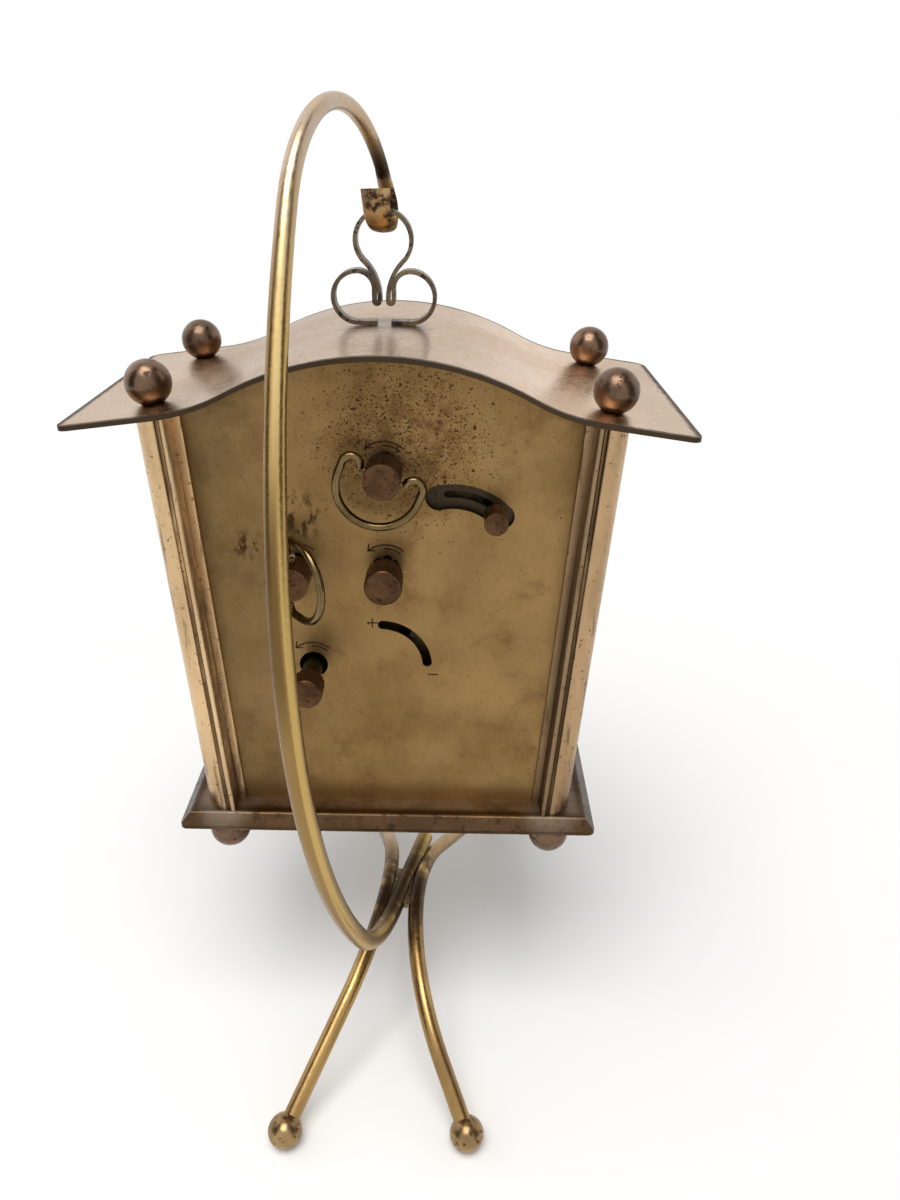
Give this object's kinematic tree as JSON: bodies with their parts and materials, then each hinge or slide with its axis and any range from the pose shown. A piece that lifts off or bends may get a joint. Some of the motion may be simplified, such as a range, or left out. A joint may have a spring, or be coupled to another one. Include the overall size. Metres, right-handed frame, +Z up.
{
  "type": "hanging alarm clock with hook stand",
  "caption": "Wind-up alarm clock in a flared lantern case with an arched roof, hung by a scrolled loop from a tall hook on splayed legs with ball feet.",
  "frame": {"origin": "on the floor under the middle of the whole outline", "axes": "+Z up, the dial faces -Y, the keys and knobs are on +Y, +X to the right as seen from the dial"},
  "size_m": [0.1142, 0.1178, 0.2023],
  "materials": {
    "rod_brass": "polished, worn",
    "foot_brass": "polished, worn",
    "solder": "dull",
    "roof_brass": "satin",
    "loop_brass": "dark, tarnished",
    "plate_brass": "satin, pitted",
    "base_brass": "tarnished",
    "post_brass": "polished, streaked",
    "ball_brass": "tarnished",
    "knob_brass": "tarnished",
    "ring_brass": "polished",
    "bezel_brass": "polished",
    "dial_paint": "satin",
    "hand_paint": "satin",
    "crystal_glass": "clear",
    "movement_brass": "satin",
    "movement_steel": "satin"
  },
  "bodies": {
    "stand": {"hook_rod": "rod_brass", "leg_rod_left": "rod_brass", "leg_rod_right": "rod_brass", "stand_ball_feet": "foot_brass", "junction_solder": "solder"},
    "clock_case": {"roof": "roof_brass", "suspension_loop": "loop_brass", "base_plate": "base_brass", "back_plate": "plate_brass", "front_plate": "plate_brass", "side_panel_left": "plate_brass", "side_panel_right": "plate_brass", "corner_post_front_left": "post_brass", "corner_post_front_right": "post_brass", "corner_post_rear_left": "post_brass", "corner_post_rear_right": "post_brass", "roof_balls": "ball_brass", "base_balls": "ball_brass", "tie_rods": "movement_steel", "bezel": "bezel_brass", "crystal": "crystal_glass", "dial": "dial_paint", "front_movement_plate": "movement_brass", "rear_movement_plate": "movement_brass", "movement_pillars": "movement_brass", "movement_posts": "movement_brass", "time_mainspring": "movement_steel", "alarm_mainspring": "movement_steel", "hairspring": "movement_steel"},
    "time_winder": {"time_key_head": "knob_brass", "time_winding_arbor": "movement_steel"},
    "time_ring": {"time_key_ring": "ring_brass"},
    "alarm_winder": {"alarm_key_head": "knob_brass", "alarm_winding_arbor": "movement_steel"},
    "alarm_ring": {"alarm_key_ring": "ring_brass"},
    "time_click": {"time_click": "movement_steel"},
    "alarm_click": {"alarm_click": "movement_steel"},
    "time_great_wheel": {"time_great_wheel": "movement_brass"},
    "centre_wheel": {"centre_wheel": "movement_brass"},
    "third_wheel": {"third_wheel": "movement_brass"},
    "escape_wheel": {"escape_wheel": "movement_brass"},
    "pallet_lever": {"pallet_lever": "movement_steel"},
    "balance_wheel": {"balance_wheel": "movement_brass"},
    "minute_shaft": {"hand_set_knob": "knob_brass", "centre_arbor": "movement_steel", "minute_hand": "hand_paint"},
    "minute_wheel": {"minute_wheel": "movement_brass"},
    "hour_tube": {"hour_wheel": "movement_brass", "hour_hand": "hand_paint"},
    "alarm_setter": {"alarm_set_knob": "knob_brass", "alarm_set_arbor": "movement_steel"},
    "alarm_tube": {"alarm_wheel": "movement_brass", "alarm_hand": "hand_paint"},
    "alarm_great_wheel": {"alarm_great_wheel": "movement_brass"},
    "hammer_wheel": {"hammer_wheel": "movement_brass"},
    "alarm_hammer": {"alarm_hammer": "movement_steel"},
    "alarm_stop": {"alarm_stop_lever": "movement_steel", "alarm_stop_knob": "knob_brass"},
    "regulator": {"regulator_lever": "movement_steel"}
  },
  "joints": [
    {"name": "clock_swing", "type": "hinge", "parent": "stand", "child": "clock_case", "pos_m": [0.0009, -0.0056, 0.1839], "axis": [0.9681, -0.2504, 0], "range_deg": [-10, 10]},
    {"name": "time_key_turn", "type": "hinge", "parent": "clock_case", "child": "time_winder", "pos_m": [0.0179, -0.0052, 0.1179], "axis": [0, 1, 0], "continuous": true},
    {"name": "time_ring_fold", "type": "hinge", "parent": "time_winder", "child": "time_ring", "pos_m": [0.0179, 0.0184, 0.1179], "axis": [0, 0, 1], "range_deg": [-130, 50]},
    {"name": "alarm_key_turn", "type": "hinge", "parent": "clock_case", "child": "alarm_winder", "pos_m": [0, -0.0052, 0.1391], "axis": [0, 1, 0], "continuous": true},
    {"name": "alarm_ring_fold", "type": "hinge", "parent": "alarm_winder", "child": "alarm_ring", "pos_m": [0, 0.0184, 0.1391], "axis": [0.9272, 0, 0.3746], "range_deg": [0, 180]},
    {"name": "time_click_lift", "type": "hinge", "parent": "clock_case", "child": "time_click", "pos_m": [0.0265, -0.0052, 0.1129], "axis": [0, 1, 0], "range_deg": [0, 8]},
    {"name": "alarm_click_lift", "type": "hinge", "parent": "clock_case", "child": "alarm_click", "pos_m": [0.0086, -0.0052, 0.1341], "axis": [0, 1, 0], "range_deg": [0, 8]},
    {"name": "centre_wheel_turn", "type": "hinge", "parent": "clock_case", "child": "centre_wheel", "pos_m": [0, -0.0052, 0.1179], "axis": [0, 1, 0], "continuous": true},
    {"name": "time_great_wheel_turn", "type": "hinge", "parent": "clock_case", "child": "time_great_wheel", "pos_m": [0.0179, -0.0052, 0.1179], "axis": [0, 1, 0], "continuous": true},
    {"name": "third_wheel_turn", "type": "hinge", "parent": "clock_case", "child": "third_wheel", "pos_m": [-0.0115, -0.0052, 0.1082], "axis": [0, 1, 0], "continuous": true},
    {"name": "escape_wheel_turn", "type": "hinge", "parent": "clock_case", "child": "escape_wheel", "pos_m": [-0.0115, -0.0052, 0.0937], "axis": [0, 1, 0], "continuous": true},
    {"name": "pallet_lever_rock", "type": "hinge", "parent": "clock_case", "child": "pallet_lever", "pos_m": [-0.00312, -0.0052, 0.09489], "axis": [0, 1, 0], "range_deg": [-6, 6]},
    {"name": "balance_swing", "type": "hinge", "parent": "clock_case", "child": "balance_wheel", "pos_m": [0.0012, -0.0052, 0.0955], "axis": [0, 1, 0], "range_deg": [-220, 220], "stiffness_Nm_per_rad": 0.000002},
    {"name": "minute_shaft_turn", "type": "hinge", "parent": "clock_case", "child": "minute_shaft", "pos_m": [0, -0.0052, 0.1179], "axis": [0, 1, 0], "continuous": true},
    {"name": "minute_wheel_turn", "type": "hinge", "parent": "clock_case", "child": "minute_wheel", "pos_m": [0.0064, -0.0052, 0.1115], "axis": [0, 1, 0], "continuous": true},
    {"name": "hour_tube_turn", "type": "hinge", "parent": "clock_case", "child": "hour_tube", "pos_m": [0, -0.0052, 0.1179], "axis": [0, 1, 0], "continuous": true},
    {"name": "alarm_tube_turn", "type": "hinge", "parent": "clock_case", "child": "alarm_tube", "pos_m": [0, -0.0052, 0.1179], "axis": [0, 1, 0], "continuous": true},
    {"name": "alarm_setter_turn", "type": "hinge", "parent": "clock_case", "child": "alarm_setter", "pos_m": [0.0156, -0.0052, 0.0954], "axis": [0, 1, 0], "continuous": true},
    {"name": "alarm_great_wheel_turn", "type": "hinge", "parent": "clock_case", "child": "alarm_great_wheel", "pos_m": [0, -0.0052, 0.1391], "axis": [0, 1, 0], "continuous": true},
    {"name": "hammer_wheel_turn", "type": "hinge", "parent": "clock_case", "child": "hammer_wheel", "pos_m": [-0.015, -0.0052, 0.1302], "axis": [0, 1, 0], "continuous": true},
    {"name": "alarm_hammer_strike", "type": "hinge", "parent": "clock_case", "child": "alarm_hammer", "pos_m": [-0.0245, -0.0052, 0.1287], "axis": [0, 1, 0], "range_deg": [-8, 8]},
    {"name": "alarm_stop_move", "type": "hinge", "parent": "clock_case", "child": "alarm_stop", "pos_m": [-0.0134, -0.0052, 0.1206], "axis": [0, 1, 0], "range_deg": [0, 43.8]},
    {"name": "regulator_move", "type": "hinge", "parent": "clock_case", "child": "regulator", "pos_m": [0.0012, -0.0052, 0.0955], "axis": [0, 1, 0], "range_deg": [-38, 38]}
  ],
  "couplings": [
    {"joint": "time_great_wheel_turn", "follows": "centre_wheel_turn", "ratio": -0.2},
    {"joint": "third_wheel_turn", "follows": "centre_wheel_turn", "ratio": -5},
    {"joint": "escape_wheel_turn", "follows": "centre_wheel_turn", "ratio": 25},
    {"joint": "minute_wheel_turn", "follows": "minute_shaft_turn", "ratio": -0.33333},
    {"joint": "hour_tube_turn", "follows": "minute_shaft_turn", "ratio": 0.083333},
    {"joint": "alarm_setter_turn", "follows": "alarm_tube_turn", "ratio": -4},
    {"joint": "hammer_wheel_turn", "follows": "alarm_great_wheel_turn", "ratio": -4.5}
  ]
}
